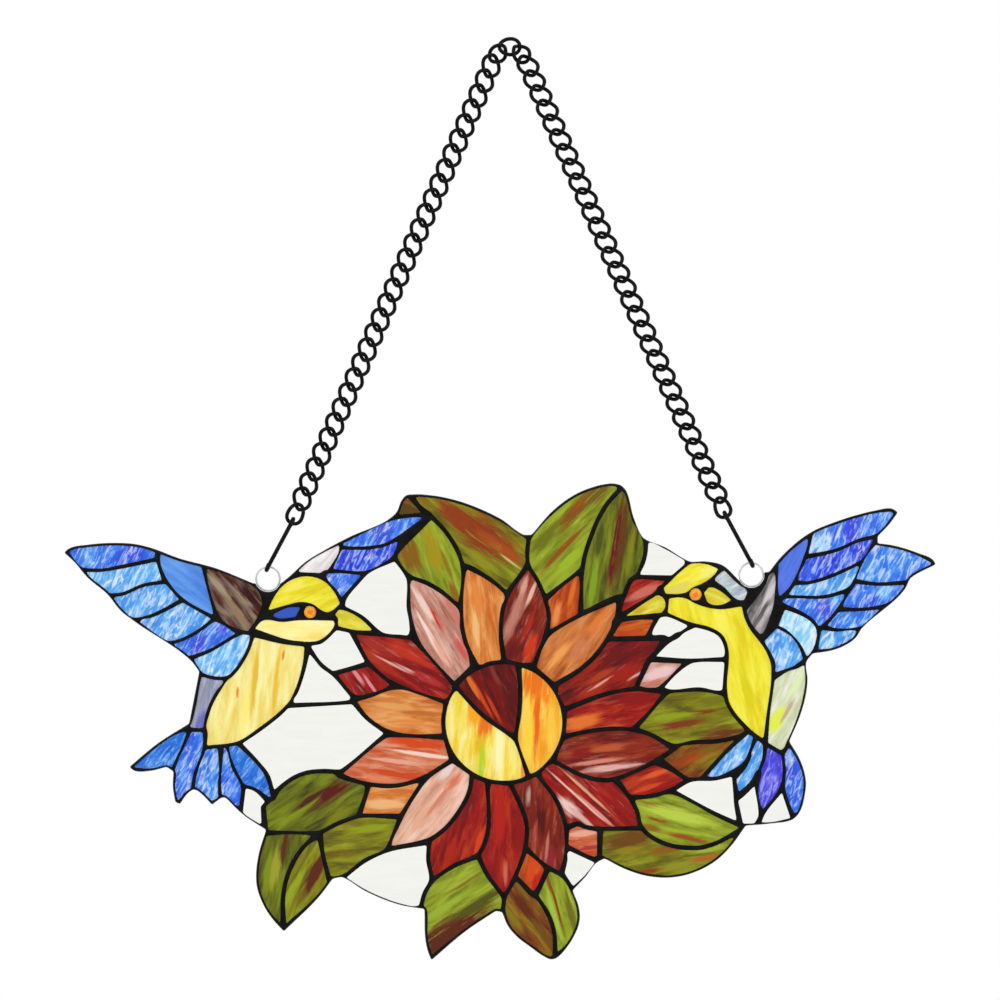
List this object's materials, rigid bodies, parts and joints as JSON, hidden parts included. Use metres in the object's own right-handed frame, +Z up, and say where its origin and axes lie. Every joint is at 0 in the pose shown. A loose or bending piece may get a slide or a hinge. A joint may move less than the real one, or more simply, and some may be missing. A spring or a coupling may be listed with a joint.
{
  "type": "stained glass window panel",
  "caption": "Hanging stained glass panel: hummingbirds either side of a large flower, in black solder lines, on a chain.",
  "frame": {"origin": "the hook point: where a hook's wire bears inside the top of the chain's top link", "axes": "+Z up, +X along the panel to the viewer's right seen from the front, -Y towards the viewer (the front faces -Y)"},
  "size_m": [0.5615, 0.012, 0.5947],
  "materials": {
    "solder": "black patina, satin",
    "blackened_steel": "black, satin",
    "clear_glass": "clear, seedy",
    "amber_jewel": "glossy",
    "green_glass": "streaky, glossy",
    "amber_glass": "streaky, glossy",
    "pink_glass": "streaky, glossy",
    "orange_glass": "streaky, glossy",
    "red_glass": "streaky, glossy",
    "yellow_glass": "streaky, glossy",
    "blue_glass": "hammered, glossy"
  },
  "bodies": {
    "root": {"back_petal_1": "orange_glass", "back_petal_2": "orange_glass", "back_petal_3": "pink_glass", "back_petal_4": "orange_glass", "back_petal_6": "orange_glass", "back_petal_8": "orange_glass", "back_petal_9": "red_glass", "beside_petal_5": "red_glass", "chain_left": "blackened_steel", "chain_right": "blackened_steel", "chain_top_link": "blackened_steel", "clear_bottom_left": "clear_glass", "clear_left": "clear_glass", "clear_over_left_beak": "clear_glass", "clear_right": "clear_glass", "clear_right_breast": "clear_glass", "clear_right_tail_pair": "clear_glass", "clear_tail_notch": "clear_glass", "flower_centre": "amber_glass", "hanging_ring_left": "blackened_steel", "hanging_ring_right": "blackened_steel", "leaf_bottom_left": "green_glass", "leaf_bottom_right": "green_glass", "leaf_lower_left": "green_glass", "leaf_lower_right": "green_glass", "leaf_right": "green_glass", "leaf_top_left": "green_glass", "leaf_top_right": "green_glass", "left_body_and_back": "yellow_glass", "left_eye": "amber_jewel", "left_head": "yellow_glass", "left_inner_wing": "blue_glass", "left_outer_wing": "blue_glass", "left_tail": "blue_glass", "over_right_beak": "blue_glass", "petal_1": "orange_glass", "petal_10": "red_glass", "petal_11": "pink_glass", "petal_11_30": "orange_glass", "petal_12": "red_glass", "petal_2_30": "red_glass", "petal_3": "red_glass", "petal_4": "red_glass", "petal_5": "red_glass", "petal_5_30": "red_glass", "petal_6": "red_glass", "petal_7": "red_glass", "petal_7_30": "pink_glass", "petal_8_30": "orange_glass", "petal_9": "orange_glass", "right_eye": "amber_jewel", "right_flank": "blue_glass", "right_head_and_body": "yellow_glass", "right_outer_wing": "blue_glass", "right_shoulder": "blue_glass", "right_tail": "blue_glass", "right_tail_outer": "blue_glass", "s_hook_left": "blackened_steel", "s_hook_right": "blackened_steel", "solder_lines": "solder"}
  },
  "joints": []
}
